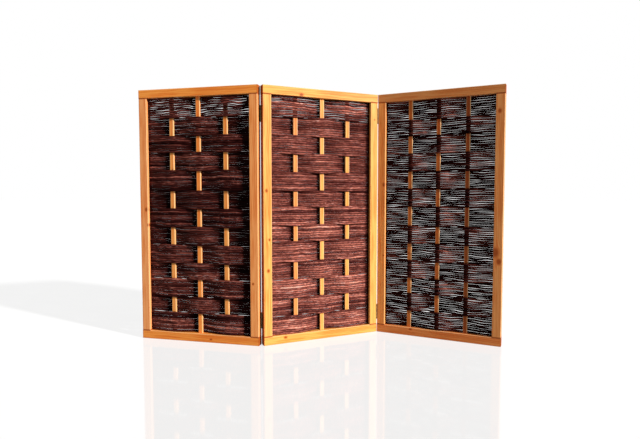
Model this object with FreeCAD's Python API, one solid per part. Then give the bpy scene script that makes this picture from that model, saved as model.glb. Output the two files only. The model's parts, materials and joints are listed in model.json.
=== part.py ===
# Willow folding screen: three wooden frames woven with willow rods, joined by butt hinges.
# Lengths are millimetres and angles are degrees. +Z is up, and the viewer looks along +Y.
# The origin lies on the floor, below the centre of the opened screen's box.

import FreeCAD
import Part
import math
import os
from FreeCAD import Placement, Rotation, Vector

# Panel frame
panel_width = 600.0
panel_height = 1200.0
frame_thickness = 38.0
stile_width = 40.0
rail_height = 40.0
edge_easing = 2.0
stile_end_easing = 1.0

# Groove in each stile that takes the rod ends
groove_depth = 8.0
groove_play = 0.6
rod_end_play = 0.5

# Upright slats
slat_width = 20.0
slat_thickness = 10.0
slat_spacing = 137.0
slat_easing = 1.0
tenon_length = 10.0
tenon_play = 0.15

# Willow rods, and how many of them lie in each course from the top down
rod_diameter = 8.8
rod_least_gap = 0.7
rod_slat_clearance = 0.6
course_shares = {
    "left": (10, 9, 8, 9, 10, 9, 9, 9, 9, 8, 9, 8, 10),
    "middle": (10, 9, 9, 9, 9, 8, 9, 8, 10, 9, 9, 9, 9),
    "right": (10, 8, 9, 9, 9, 9, 10, 9, 9, 9, 8, 9, 9),
}

# Joints between the panels: butt hinges with their leaves let in flush with the frame edges
panel_gap = 1.0
pin_stand_off = 0.6
hinge_length = 75.0
leaf_width = 20.0
leaf_thickness = 1.2
leaf_play = 0.25
pin_diameter = 2.5
pin_play = 0.05
pin_head_diameter = 4.0
pin_head_height = 0.8
knuckle_count = 5
knuckle_end_gap = 0.4
knuckle_sweep_gap = 0.7
valley_hinge_inset = 68.0
ridge_hinge_top_inset = 88.0
ridge_hinge_bottom_inset = 75.0

# Countersunk screws: three in each hinge leaf, one in each frame corner
hinge_screw_diameter = 3.5
hinge_screw_head_diameter = 6.6
hinge_screw_length = 16.0
hinge_screw_recess_length = 3.6
hinge_screw_end_inset = 11.0
hinge_screw_row_shares = (0.45, 0.72)
corner_screw_diameter = 5.0
corner_screw_head_diameter = 9.5
corner_screw_length = 70.0
corner_screw_recess_length = 5.0
corner_screw_sink = 0.5
screw_play = 0.1
tip_per_diameter_share = 1.6
recess_width_share = 0.2
recess_depth_share = 0.5

# How far each panel is turned from facing the viewer squarely, seen from above
left_heading = -13.0
middle_heading = 24.0
right_heading = -25.5

# How far cutting tools run past the faces they cut
overrun = 1.0

# Worked out from the sizes above
half_thickness = frame_thickness / 2
inner_height = panel_height - 2 * rail_height
rod_count = int(inner_height // (rod_diameter + rod_least_gap))
rod_pitch = inner_height / rod_count
rod_radius = rod_diameter / 2
rod_crest = slat_thickness / 2 + rod_radius + rod_slat_clearance
knuckle_bore_radius = pin_diameter / 2 + pin_play
knuckle_radius = knuckle_bore_radius + leaf_thickness
pivot_reach = half_thickness + pin_stand_off
knuckle_pitch = hinge_length / knuckle_count
UP = Vector(0, 0, 1)


def block(x_span, y_span, z_span):
    """A box between two values along each axis."""
    size = [span[1] - span[0] for span in (x_span, y_span, z_span)]
    corner = Vector(x_span[0], y_span[0], z_span[0])
    return Part.makeBox(size[0], size[1], size[2], corner)


def ease(solid, direction, radius):
    """Round the solid's straight edges that run along the direction."""
    chosen = []
    for edge in solid.Edges:
        run = edge.Vertexes[-1].Point - edge.Vertexes[0].Point
        if run.cross(direction).Length < radius:
            chosen.append(edge)
    return solid.makeFillet(radius, chosen)


def ease_ends(solid, radius):
    """Round the rims of an upright solid's top and bottom faces."""
    chosen = []
    for face in solid.Faces:
        if face.BoundBox.ZLength < radius:
            chosen += face.Edges
    return solid.makeFillet(radius, chosen)


def rod_round(radius, length, base=Vector(0, 0, 0), direction=UP):
    """A plain cylinder."""
    return Part.makeCylinder(radius, length, base, direction)


# Screws, made with the middle of the head's top at the origin and the tip pointing down

def screw_profile(diameter, head_diameter, length, play):
    """A screw turned from its outline; with play it is the hole that the screw goes into."""
    shank = diameter / 2 + play
    head = head_diameter / 2 + play
    head_depth = (head_diameter - diameter) / 2
    tip_start = length + play if play > 0 else length - diameter * tip_per_diameter_share
    cone = Part.makeCone(shank, head, head_depth, Vector(0, 0, -head_depth))
    body = rod_round(shank, tip_start - head_depth, Vector(0, 0, -tip_start))
    return cone.fuse(body), tip_start


def screw(diameter, head_diameter, length, recess_length):
    """A countersunk screw with a pointed tip and a cross recess."""
    body, tip_start = screw_profile(diameter, head_diameter, length, 0)
    tip = Part.makeCone(0, diameter / 2, length - tip_start, Vector(0, 0, -length))
    arm = recess_length / 2
    half = recess_length * recess_width_share / 2
    deep = (head_diameter - diameter) * recess_depth_share
    cross = block((-arm, arm), (-half, half), (-deep, overrun))
    cross = cross.fuse(block((-half, half), (-arm, arm), (-deep, overrun)))
    return body.fuse(tip).removeSplitter().cut(cross)


def screw_hole(diameter, head_diameter, length):
    """The countersunk hole that a screw goes into, running on above the head."""
    hole, _ = screw_profile(diameter, head_diameter, length, screw_play)
    mouth = rod_round(head_diameter / 2 + screw_play, overrun + corner_screw_sink)
    return hole.fuse(mouth)


# Frame pieces, in the panel's own frame: x along the panel, y to the back, z up

def corner_screw_places():
    """Head position and direction of the four corner screws of a panel."""
    places = []
    for x in (stile_width / 2, panel_width - stile_width / 2):
        top = Placement(Vector(x, 0, panel_height - corner_screw_sink), Rotation())
        bottom = Placement(Vector(x, 0, corner_screw_sink), Rotation(Vector(1, 0, 0), 180))
        places.append(top)
        places.append(bottom)
    return places


def corner_screw_holes():
    """All four corner screw holes of a panel."""
    hole = screw_hole(corner_screw_diameter, corner_screw_head_diameter, corner_screw_length)
    return [hole.transformed(place.Matrix) for place in corner_screw_places()]


def slat_centres():
    """Places of the three slats along the panel."""
    centre = panel_width / 2
    return (centre - slat_spacing, centre, centre + slat_spacing)


def rail(z_low, tenon_side):
    """A rail across the whole panel, with a mortise for each slat in its inner face."""
    z_high = z_low + rail_height
    body = block((0, panel_width), (-half_thickness, half_thickness), (z_low, z_high))
    body = ease(body, Vector(1, 0, 0), edge_easing)
    half_width = slat_width / 2 + tenon_play
    half_depth = slat_thickness / 2 + tenon_play
    reach = tenon_length + tenon_play
    inner = z_high if tenon_side > 0 else z_low
    z_span = sorted((inner + tenon_side * overrun, inner - tenon_side * reach))
    tools = corner_screw_holes()
    for x in slat_centres():
        tools.append(block((x - half_width, x + half_width), (-half_depth, half_depth), z_span))
    return body.cut(tools)


def stile(side, hinge_cuts):
    """A stile between the rails; side is -1 at the panel's left end and +1 at its right end."""
    span = (0, stile_width) if side < 0 else (panel_width - stile_width, panel_width)
    z_span = (rail_height, panel_height - rail_height)
    body = block(span, (-half_thickness, half_thickness), z_span)
    body = ease(body, UP, edge_easing)
    body = ease_ends(body, stile_end_easing)
    inner = span[1] if side < 0 else span[0]
    groove_span = sorted((inner - side * overrun, inner + side * groove_depth))
    half_groove = rod_radius + groove_play
    groove_height = (rail_height - overrun, panel_height - rail_height + overrun)
    tools = corner_screw_holes()
    tools.append(block(groove_span, (-half_groove, half_groove), groove_height))
    return body.cut(tools + hinge_cuts)


def slat(x):
    """An upright slat with its ends let into the rails."""
    half_width = slat_width / 2
    half_depth = slat_thickness / 2
    z_span = (rail_height - tenon_length, panel_height - rail_height + tenon_length)
    body = block((x - half_width, x + half_width), (-half_depth, half_depth), z_span)
    return ease(body, UP, slat_easing)


# Willow rods, each woven past the three slats and held in the stile grooves

def arc_from(start, end, along):
    """The arc from start to end that leaves start in the given direction."""
    chord = end - start
    across = Vector(-along.y, along.x, 0)
    radius = chord.dot(chord) / (2 * chord.dot(across))
    centre = start + across * radius
    outward = (start + end) * 0.5 - centre
    outward.normalize()
    return Part.Arc(start, centre + outward * abs(radius), end).toShape()


def rod(side_slat_face):
    """One rod at height zero; side_slat_face is -1 where it passes in front of the side slats."""
    first = stile_width - groove_depth + rod_end_play
    crest = side_slat_face * rod_crest
    left_slat, centre_slat, right_slat = slat_centres()
    bends = [
        Vector(first, 0, 0),
        Vector(left_slat, crest, 0),
        Vector(centre_slat, -crest, 0),
        Vector(right_slat, crest, 0),
        Vector(panel_width - first, 0, 0),
    ]
    edges = []
    for start, end in zip(bends, bends[1:]):
        middle = (start + end) * 0.5
        edges.append(arc_from(start, middle, Vector(1, 0, 0)))
        edges.append(arc_from(end, middle, Vector(-1, 0, 0)))
    path = Part.Wire(Part.__sortEdges__(edges))
    circle = Part.Wire([Part.makeCircle(rod_radius, bends[0], Vector(1, 0, 0))])
    return path.makePipeShell([circle], True, False)


def course_ends(panel_name):
    """How many rods lie above the foot of each course, from the top down."""
    shares = course_shares[panel_name]
    return [round(rod_count * sum(shares[:index]) / sum(shares)) for index in range(len(shares) + 1)]


def weave(panel_name, first_course, side_slat_face):
    """Every rod of every second course, starting from course 0 or 1 below the top rail."""
    pattern = rod(side_slat_face)
    top = panel_height - rail_height
    ends = course_ends(panel_name)
    rods = []
    for course in range(first_course, len(ends) - 1, 2):
        for place in range(ends[course], ends[course + 1]):
            height = top - (place + 1 / 2) * rod_pitch
            rods.append(pattern.translated(Vector(0, 0, height)))
    return Part.makeCompound(rods)


# Hinges, made with the pin's axis on z and the stile on the -x side of the leaf, running to +y

def knuckle_zones(parity):
    """Low and high ends of the knuckles that belong to one leaf."""
    zones = []
    for index in range(knuckle_count):
        if index % 2 == parity:
            low = index * knuckle_pitch - hinge_length / 2
            zones.append((low, low + knuckle_pitch))
    return zones


def leaf_screw_places():
    """Head position and direction of the three screws of a leaf."""
    face = -panel_gap / 2
    reach = hinge_length / 2 - hinge_screw_end_inset
    near, far = [leaf_width * share for share in hinge_screw_row_shares]
    turn = Rotation(Vector(0, 1, 0), 90)
    return [Placement(Vector(face, y, z), turn) for y, z in ((far, -reach), (near, 0), (far, reach))]


def leaf_screw_holes():
    """The three screw holes of a leaf."""
    hole = screw_hole(hinge_screw_diameter, hinge_screw_head_diameter, hinge_screw_length)
    return [hole.transformed(place.Matrix) for place in leaf_screw_places()]


def hinge_seat():
    """What a hinge takes out of a stile: a shallow seat for the leaf, and room for the knuckles."""
    half = hinge_length / 2 + leaf_play
    x_span = (-panel_gap / 2 - leaf_thickness, overrun)
    seat = block(x_span, (-overrun, leaf_width + leaf_play), (-half, half))
    reach = half + pin_head_height + leaf_play
    room = rod_round(knuckle_radius + knuckle_sweep_gap, 2 * reach, Vector(0, 0, -reach))
    return seat.fuse(room)


def hinge_leaf(parity):
    """A flat leaf rolled into the knuckles of the given parity."""
    x_span = (-panel_gap / 2 - leaf_thickness, -panel_gap / 2)
    half = hinge_length / 2
    body = block(x_span, (0, leaf_width), (-half, half))
    clear = knuckle_radius + knuckle_sweep_gap
    for low, high in knuckle_zones(1 - parity):
        span = (low - knuckle_end_gap / 2, high + knuckle_end_gap / 2)
        body = body.cut(block((-clear, clear), (-overrun, clear), span))
    bores = []
    for low, high in knuckle_zones(parity):
        length = high - low - knuckle_end_gap
        base = Vector(0, 0, low + knuckle_end_gap / 2)
        body = body.fuse(rod_round(knuckle_radius, length, base))
        bores.append(rod_round(knuckle_bore_radius, length + 2 * overrun, base - UP * overrun))
    return body.removeSplitter().cut(bores + leaf_screw_holes())


def hinge_pin():
    """The pin, with a rivet head past each end knuckle."""
    half = hinge_length / 2
    pin = rod_round(pin_diameter / 2, hinge_length, Vector(0, 0, -half))
    low_head = rod_round(pin_head_diameter / 2, pin_head_height, Vector(0, 0, -half - pin_head_height))
    high_head = rod_round(pin_head_diameter / 2, pin_head_height, Vector(0, 0, half))
    return pin.fuse([low_head, high_head]).removeSplitter()


def hinge_screws():
    """The three screws of a leaf."""
    one = screw(
        hinge_screw_diameter,
        hinge_screw_head_diameter,
        hinge_screw_length,
        hinge_screw_recess_length,
    )
    return Part.makeCompound([one.transformed(place.Matrix) for place in leaf_screw_places()])


def hinge_place(end, face, z):
    """Hinge frame to panel frame; end is -1 left or +1 right, face is -1 front or +1 back."""
    x = panel_width + panel_gap / 2 if end > 0 else -panel_gap / 2
    return Placement(Vector(x, face * pivot_reach, z), Rotation())


def on_edge(shape, end, face, z):
    """Turn a hinge shape made for a right end and front face to another end or face."""
    if end < 0:
        shape = shape.mirror(Vector(0, 0, 0), Vector(1, 0, 0))
    if face > 0:
        shape = shape.mirror(Vector(0, 0, 0), Vector(0, 1, 0))
    return shape.transformed(hinge_place(end, face, z).Matrix)


# Where the panels stand, from the pivots outwards

def heading_along(heading):
    """The direction of a panel from its left end to its right end."""
    return Vector(math.cos(math.radians(heading)), math.sin(math.radians(heading)), 0)


def heading_back(heading):
    """The direction from a panel's front face to its back face."""
    return Vector(-math.sin(math.radians(heading)), math.cos(math.radians(heading)), 0)


def panel_starts():
    """The left end of each panel's middle line, with the middle panel's left end at zero."""
    along = {name: heading_along(angle) for name, angle in headings.items()}
    back = {name: heading_back(angle) for name, angle in headings.items()}
    middle = Vector(0, 0, 0)
    ridge = middle - along["middle"] * (panel_gap / 2) + back["middle"] * pivot_reach
    left_end = ridge - along["left"] * (panel_gap / 2) - back["left"] * pivot_reach
    left = left_end - along["left"] * panel_width
    middle_end = middle + along["middle"] * panel_width
    valley = middle_end + along["middle"] * (panel_gap / 2) - back["middle"] * pivot_reach
    right = valley + along["right"] * (panel_gap / 2) + back["right"] * pivot_reach
    return {"left": left, "middle": middle, "right": right}, ridge, valley


def footprint_middle(starts):
    """The middle of the box round the three panels, seen from above."""
    corners = []
    for name, start in starts.items():
        for run in (0, panel_width):
            for depth in (-half_thickness, half_thickness):
                along = heading_along(headings[name]) * run
                corners.append(start + along + heading_back(headings[name]) * depth)
    xs = [corner.x for corner in corners]
    ys = [corner.y for corner in corners]
    return Vector((min(xs) + max(xs)) / 2, (min(ys) + max(ys)) / 2, 0)


headings = {"left": left_heading, "middle": middle_heading, "right": right_heading}
raw_starts, raw_ridge, raw_valley = panel_starts()
origin = footprint_middle(raw_starts)
panel_places = {}
for panel, panel_start in raw_starts.items():
    panel_places[panel] = Placement(panel_start - origin, Rotation(UP, headings[panel]))

# Each hinge: its two panels, the face that its knuckles stand on, and its middle height
half_hinge = hinge_length / 2
hinges = {
    "ridge_upper": ("left", "middle", 1, panel_height - ridge_hinge_top_inset - half_hinge),
    "ridge_lower": ("left", "middle", 1, ridge_hinge_bottom_inset + half_hinge),
    "valley_upper": ("middle", "right", -1, panel_height - valley_hinge_inset - half_hinge),
    "valley_lower": ("middle", "right", -1, valley_hinge_inset + half_hinge),
}

# The left and middle panels show the same side of the weave, and the right panel the other
side_slat_faces = {"left": -1, "middle": -1, "right": 1}


def hinge_cuts_in(panel_name, end):
    """Seats and screw holes that the hinges need in one stile of a panel."""
    cuts = []
    for first, second, face, height in hinges.values():
        if (panel_name, end) in ((first, 1), (second, -1)):
            shapes = leaf_screw_holes() + [hinge_seat()]
            cuts += [on_edge(shape, end, face, height) for shape in shapes]
    return cuts


def panel_pieces(panel_name):
    """All the pieces of one panel by name, in the panel's own frame."""
    face = side_slat_faces[panel_name]
    left_slat, centre_slat, right_slat = slat_centres()
    corner_screw = screw(
        corner_screw_diameter,
        corner_screw_head_diameter,
        corner_screw_length,
        corner_screw_recess_length,
    )
    return {
        "top_rail": rail(panel_height - rail_height, -1),
        "bottom_rail": rail(0, 1),
        "left_stile": stile(-1, hinge_cuts_in(panel_name, -1)),
        "right_stile": stile(1, hinge_cuts_in(panel_name, 1)),
        "left_slat": slat(left_slat),
        "centre_slat": slat(centre_slat),
        "right_slat": slat(right_slat),
        "odd_course_rods": weave(panel_name, 0, face),
        "even_course_rods": weave(panel_name, 1, -face),
        "corner_screws": Part.makeCompound(
            [corner_screw.transformed(place.Matrix) for place in corner_screw_places()]
        ),
    }


def hinge_pieces(hinge_name):
    """The leaves, pin and screws of one hinge by name, already in the screen's frame."""
    first, second, face, height = hinges[hinge_name]
    pieces = {}
    for panel_name, end in ((first, 1), (second, -1)):
        parity = 0 if panel_name == "middle" else 1
        matrix = panel_places[panel_name].Matrix
        leaf = on_edge(hinge_leaf(parity), end, face, height)
        screws = on_edge(hinge_screws(), end, face, height)
        pieces[panel_name + "_leaf"] = leaf.transformed(matrix)
        pieces[panel_name + "_screws"] = screws.transformed(matrix)
        if panel_name == "middle":
            pin = on_edge(hinge_pin(), end, face, height)
            pieces["pin"] = pin.transformed(matrix)
    return pieces


os.makedirs("parts", exist_ok=True)
for panel in panel_places:
    for piece, shape in panel_pieces(panel).items():
        shape.transformed(panel_places[panel].Matrix).exportStep("parts/" + panel + "_" + piece + ".step")
for hinge in hinges:
    for piece, shape in hinge_pieces(hinge).items():
        shape.exportStep("parts/" + hinge + "_hinge_" + piece + ".step")

for label, pivot in (("ridge", raw_ridge), ("valley", raw_valley)):
    print(label, "pivot", pivot - origin)
for panel in panel_places:
    print(panel, "panel start", panel_places[panel].Base, "heading", headings[panel])
print("rods in a panel", rod_count, "pitch", rod_pitch)
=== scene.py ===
import json
import math

import bpy
import numpy as np
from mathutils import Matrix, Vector


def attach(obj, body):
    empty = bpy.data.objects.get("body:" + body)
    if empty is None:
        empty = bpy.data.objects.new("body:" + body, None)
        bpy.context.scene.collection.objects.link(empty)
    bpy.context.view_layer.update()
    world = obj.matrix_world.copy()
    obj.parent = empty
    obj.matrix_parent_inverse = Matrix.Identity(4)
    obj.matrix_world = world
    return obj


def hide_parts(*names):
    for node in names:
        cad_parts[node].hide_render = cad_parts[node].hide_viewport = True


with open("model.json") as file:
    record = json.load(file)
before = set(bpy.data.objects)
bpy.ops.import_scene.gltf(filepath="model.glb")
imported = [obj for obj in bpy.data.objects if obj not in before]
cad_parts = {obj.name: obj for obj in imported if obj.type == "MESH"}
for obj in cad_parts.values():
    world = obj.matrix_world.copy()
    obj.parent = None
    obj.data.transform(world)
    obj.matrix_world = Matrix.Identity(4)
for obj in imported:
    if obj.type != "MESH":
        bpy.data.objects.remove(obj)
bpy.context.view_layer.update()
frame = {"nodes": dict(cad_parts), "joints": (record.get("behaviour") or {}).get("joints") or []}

# Looks of a three-panel willow folding screen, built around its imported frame.
# Lengths are metres. +Z is up, and the viewer looks along +Y.

bl_info = {
    "name": "Willow folding screen",
    "version": (1, 0, 0),
    "blender": (4, 5, 0),
    "location": "3D View > Sidebar > Willow screen",
    "description": "Woven willow rods, oiled softwood and zinc plated hinges for a folding screen",
    "category": "Add Mesh",
}

# The panels, as the frame has them: how far each is turned from facing the viewer squarely, and
# whether its first course passes in front of the side slats (-1) or behind them (1)
PANEL_TURNS = {"left": -13.0, "middle": 24.0, "right": -25.5}
SIDE_SLAT_FACES = {"left": -1, "middle": -1, "right": 1}
PANEL_WIDTH = 0.600
PANEL_HEIGHT = 1.200
RAIL_HEIGHT = 0.040
STILE_WIDTH = 0.040
FRAME_THICKNESS = 0.038
PANEL_GAP = 0.0010
PIVOT_REACH = 0.0196
SLAT_SPACING = 0.137
SLAT_PLACES = tuple(PANEL_WIDTH / 2 + step * SLAT_SPACING for step in (-1, 0, 1))
SLAT_WIDTH = 0.020
SLAT_THICKNESS = 0.010

# Rods lie in courses, counted from the top down. The rods are dealt out between the courses by
# these shares, and a course's loose share is the part of its height that is open between its rods.
ROD_COUNT = 117
ROD_END = 0.0325
COURSE_SHARES = {
    "left": (10, 9, 8, 9, 10, 9, 9, 9, 9, 8, 9, 8, 10),
    "middle": (10, 9, 9, 9, 9, 8, 9, 8, 10, 9, 9, 9, 9),
    "right": (10, 8, 9, 9, 9, 9, 10, 9, 9, 9, 8, 9, 9),
}
LOOSE_SHARES = {
    "left": (0.055, 0.007) + (0.004,) * 11,
    "middle": (0.040,) + (0.004,) * 12,
    "right": (0.055,) * 3 + (0.060,) * 2 + (0.067,) * 8,
}

# A rod bends at its ends and at the slats. Its skin has rings at even steps, and more of them near
# a slat's middle and the right stile's edge, where light and shade change fast.
BEND_PLACES = np.array((ROD_END, *SLAT_PLACES, PANEL_WIDTH - ROD_END))
ROD_STEPS = 25
NEAR_SLAT = (-0.034, -0.026, -0.020, -0.0155, -0.011, 0.0, 0.011, 0.018)
NEAR_STILE = (-0.06, -0.04, -0.025, -0.012, -0.004)
ROD_SIDES = 8
ROD_FLATNESS = 0.97
ROD_DEEPEST = 0.0048
ROD_SIZE_LIMITS = (0.66, 1.3)
ROD_SWELL = 0.06

# A course widens from the first to the second of these shares of its furthest way out
SPREAD_SHARES = (0.36, 0.8)

# Numbers of waves over a rod's length in the random curves
LINE_WAVES = (1, 2, 3)
SWELL_WAVES = (2, 3, 5, 7)
GAP_WAVES = (2, 3, 4, 5)
LIGHTNESS_WAVES = (1, 3, 6, 10)

# The form of the random bellies, and how many times the belly setting the largest may be
BELLY_FORM = 1.3
BELLY_LIMIT = 3

# The bark's tone from rod to rod, and the length of bark that the rods' streaks are taken from
TONE_MIDDLE = 0.5
TONE_SPREAD = 0.22
BARK_LENGTH = 40

# Each panel's bark: lightness of its top and of its bottom rods, which is painted light and shade
# that differs from panel to panel and grows from the top down, and how strongly the rods differ.
# The painted lightness changes down the panel by this power of the way down, and a rod's own
# lightness is drawn for the whole rod with one strength and changes along it with the other.
PAINTED_PANEL_LIGHT = {"left": (0.46, 0.98), "middle": (1.18, 2.84), "right": (0.20, 0.20)}
CONTRAST_SHARES = {"left": 1.7, "middle": 1.0, "right": 1.0}
WAY_DOWN_POWER = 0.65
WHOLE_ROD_STRENGTH = 1.1
ALONG_ROD_STRENGTH = 0.8

# What is taken off the random curve of the gaps: the more, the fewer and shorter they are
GAP_CUTS = {"left": 0.1, "middle": -0.1, "right": -0.6}
LEAST_GAP_WEIGHT = 0.01

# Painted shadow: how far a slat or a stile casts a painted shadow on the bark on its left, as a
# share of how far the bark lies behind its face, and over what length that fades. Painted
# sunlight: how much paler bark is that faces the right end of the panel, and the slope at which it
# is palest
PAINTED_SHADOW_SHARES = {"left": 3.5, "middle": 1.5, "right": 0.0}
PAINTED_SHADOW_FADE = 0.006
PAINTED_SUNLIGHT_SHARES = {"left": 0.0, "middle": 0.0, "right": 5.7}
PAINTED_SUNLIGHT_SLOPE = 0.2
TAU = 2 * math.pi


# Settings that a user would change

def colour_setting(name, description, red, green, blue):
    """A colour that a user can pick."""
    return bpy.props.FloatVectorProperty(
        name=name, description=description, default=(red, green, blue, 1.0), size=4,
        min=0.0, max=1.0, subtype="COLOR")


def share_setting(name, description, default, high=1.0):
    """A share of something, from none of it up to this."""
    return bpy.props.FloatProperty(
        name=name, description=description, default=default, min=0.0, max=high, subtype="FACTOR")


def length_setting(name, description, default, low, high):
    """A length between these two."""
    return bpy.props.FloatProperty(
        name=name, description=description, default=default, min=low, max=high, unit="LENGTH")


def angle_setting(name, description, degrees):
    """An angle, given in degrees."""
    return bpy.props.FloatProperty(
        name=name, description=description, default=math.radians(degrees), subtype="ANGLE")


class WillowSettings(bpy.types.PropertyGroup):
    """Sizes and bark colours of the woven rods."""
    seed: bpy.props.IntProperty(
        name="Seed", description="Which random lot of rods is woven in", default=11, min=0)
    taper: share_setting("Taper", "How much thinner a rod's tip is than its butt", 0.22, 0.6)
    uneven: share_setting(
        "Uneven rods", "How much the rods' thickness differs from rod to rod", 0.16, 0.3)
    boundary_wander: length_setting(
        "Course wander", "How far the line between two courses strays", 0.0013, 0.0, 0.004)
    spread: length_setting(
        "Course spread", "How far a course widens past its line where it passes a slat",
        0.0026, 0.0, 0.003)
    slat_clearance: length_setting(
        "Slat clearance", "Least room between a rod and the slat that it passes",
        0.00045, 0.0003, 0.003)
    belly: length_setting(
        "Belly", "How much further than needed some rods stand off a slat", 0.0006, 0.0, 0.003)
    shade_spread: share_setting(
        "Shade spread", "How much the bark's lightness differs from rod to rod", 0.24)
    # Painted shade where a rod lies behind the others
    painted_recess_shade: share_setting(
        "Recess", "How much darker the bark is where a rod lies behind the others", 0.6)
    # Painted shade where two rods lie against each other
    painted_crevice_shade: share_setting(
        "Crevice", "How dark the bark is where two rods lie against each other", 0.85)
    # Painted shadow of the slats and stiles on the bark to their left
    painted_shadow: share_setting("Lee", "How much darker the bark is in the lee of a slat or a stile", 0.92)
    # Painted shade on the first and the last rod of each course
    painted_edge_rod_shade: share_setting("Edge rod", "Lightness of the first and the last rod of a course", 0.78)
    dark_bark: colour_setting("Dark bark", "Bark in its darkest streaks", 0.052, 0.010, 0.009)
    warm_bark: colour_setting("Warm bark", "Red brown bark of most rods", 0.26, 0.070, 0.050)
    pale_bark: colour_setting("Pale bark", "Greyed and rubbed bark", 0.40, 0.17, 0.14)


class WoodSettings(bpy.types.PropertyGroup):
    """Colours and grain of the frames and the slats."""
    light_wood: colour_setting(
        "Frame wood", "Oiled softwood between its growth rings", 0.99, 0.42, 0.105)
    ring_wood: colour_setting("Ring wood", "Oiled softwood in its growth rings", 0.80, 0.215, 0.034)
    # Also the colour of the painted shade on the sides where two panels butt
    knot_wood: colour_setting(
        "Knot wood", "Heart of a knot, end grain and unoiled edges", 0.34, 0.056, 0.004)
    # Also the colour of the painted highlight on the edges that face the key light
    worn_and_highlit_wood: colour_setting(
        "Worn wood", "Softwood where the oil has worn off the edges", 0.99, 0.62, 0.30)
    slat_light: colour_setting("Slat wood", "Slat wood between its growth rings", 0.98, 0.44, 0.10)
    ring_spacing: length_setting(
        "Ring spacing", "Distance between two growth rings", 0.0060, 0.0005, 0.02)


class MetalSettings(bpy.types.PropertyGroup):
    """Colours of the hinges and the screws."""
    zinc: colour_setting("Zinc", "Yellow passivated plating of the hinges", 0.26, 0.19, 0.11)
    screw_zinc: colour_setting(
        "Screw zinc", "Yellow passivated plating of the screws", 0.42, 0.33, 0.20)
    tarnish: colour_setting("Tarnish", "Plating where it has gone dull", 0.12, 0.085, 0.05)


class StageSettings(bpy.types.PropertyGroup):
    """Light, floor and camera."""
    sun_strength: bpy.props.FloatProperty(
        name="Key light", description="Strength of the key light", default=4.8, min=0.0)
    sun_azimuth: angle_setting(
        "Key azimuth", "How far the key light stands to the viewer's right", 59.0)
    sun_elevation: angle_setting("Key elevation", "Height of the key light above the horizon", 23.0)
    sun_size: angle_setting(
        "Key size", "Angle that the key light fills, which softens its shadows", 2.5)
    fill_strength: bpy.props.FloatProperty(
        name="Fill light", description="Strength of the even light from all round",
        default=0.25, min=0.0)
    lens: bpy.props.FloatProperty(
        name="Lens", description="Focal length of the camera in millimetres", default=27.84)
    camera_place: bpy.props.FloatVectorProperty(
        name="Camera place", description="Where the camera stands",
        default=(0.0095, -2.3939, 0.712), size=3, subtype="TRANSLATION", unit="LENGTH")
    camera_pitch: angle_setting("Camera pitch", "How far the camera looks down", 3.12)
    floor_reach: bpy.props.FloatProperty(
        name="Floor reach", description="Half the side of the floor", default=40.0, unit="LENGTH")


# Where the panels stand

def panel_axes(panel):
    """Unit vectors along a panel from left to right, and from its front to its back."""
    turn = math.radians(PANEL_TURNS[panel])
    along = np.array((math.cos(turn), math.sin(turn)))
    back = np.array((-math.sin(turn), math.cos(turn)))
    return along, back


def find_panel_starts():
    """The left end of each panel's middle line on the floor, stepped off from the frame's two pivots."""
    pivots = {joint["child"]: np.array(joint["pos_m"][:2]) for joint in frame["joints"]}
    ridge, valley = pivots["left_panel"], pivots["right_panel"]
    half = PANEL_GAP / 2
    along, back = panel_axes("middle")
    starts = {"middle": ridge + along * half - back * PIVOT_REACH}
    along, back = panel_axes("left")
    starts["left"] = ridge - along * (half + PANEL_WIDTH) - back * PIVOT_REACH
    along, back = panel_axes("right")
    starts["right"] = valley + along * half + back * PIVOT_REACH
    return starts


PANEL_STARTS = find_panel_starts()


# Meshes

def smooth_curves(draws, rows, along, waves):
    """One smooth random curve per row, with a mean square of about one.
    It is a sum of sine waves over the rod's length, one for each number of waves asked for, each
    with a random height and phase."""
    count = np.array(waves, float)
    phase = draws.uniform(0, TAU, (rows, len(count), 1))
    height = draws.normal(0, 1, (rows, len(count), 1))
    curve = height * np.sin(TAU * count[None, :, None] * along + phase)
    return curve.sum(1) / math.sqrt(len(count) / 2)


def course_bounds(panel):
    """The index of the first rod of each course, from the top down, and one past the last rod."""
    shares = np.array(COURSE_SHARES[panel])
    ends = np.concatenate(([0], np.cumsum(shares))) * ROD_COUNT / shares.sum()
    return np.rint(ends).astype(int)


def panel_distances(along):
    """Distance from the panel's left end of each place along a rod."""
    return ROD_END + along * (PANEL_WIDTH - 2 * ROD_END)


def bend_spans(along):
    """Which span between two bends each place along a rod lies in, and how far the rod has gone over
    from the first bend's depth to the next one's there, as half a cosine wave does."""
    x = panel_distances(along)
    span = np.clip(np.searchsorted(BEND_PLACES, x, side="right") - 1, 0, 3)
    share = (x - BEND_PLACES[span]) / (BEND_PLACES[span + 1] - BEND_PLACES[span])
    return span, (1 - np.cos(np.pi * share)) / 2


def rod_samples():
    """Places along a rod as shares of its length: even steps, and more by the slats and a stile."""
    slats = (BEND_PLACES[1:4, None] + np.array(NEAR_SLAT)).ravel()
    stile = PANEL_WIDTH - STILE_WIDTH + np.array(NEAR_STILE)
    extra = (np.concatenate((slats, stile)) - ROD_END) / (PANEL_WIDTH - 2 * ROD_END)
    return np.unique(np.concatenate((np.linspace(0, 1, ROD_STEPS), extra)).round(5))


def painted_shadow_shares(panel, x, fronts):
    """How far each place on the fronts of the rods lies in the painted shadow of the slat or stile on
    its right, from 0 to 1. It does where it is nearer to the board's edge than its depth behind the
    board's face times the panel's painted shadow share, with a soft limit."""
    edges = [(place - SLAT_WIDTH / 2, SLAT_THICKNESS / 2) for place in SLAT_PLACES]
    edges.append((PANEL_WIDTH - STILE_WIDTH, FRAME_THICKNESS / 2))
    shares = np.zeros_like(fronts)
    for edge, face in edges:
        reach = np.clip(fronts + face, 0, None) * PAINTED_SHADOW_SHARES[panel]
        inside = np.clip((reach - (edge - x)) / PAINTED_SHADOW_FADE + 0.5, 0, 1) * (x < edge + SLAT_WIDTH)
        shares = np.maximum(shares, inside * (reach > 0))
    return shares


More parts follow.
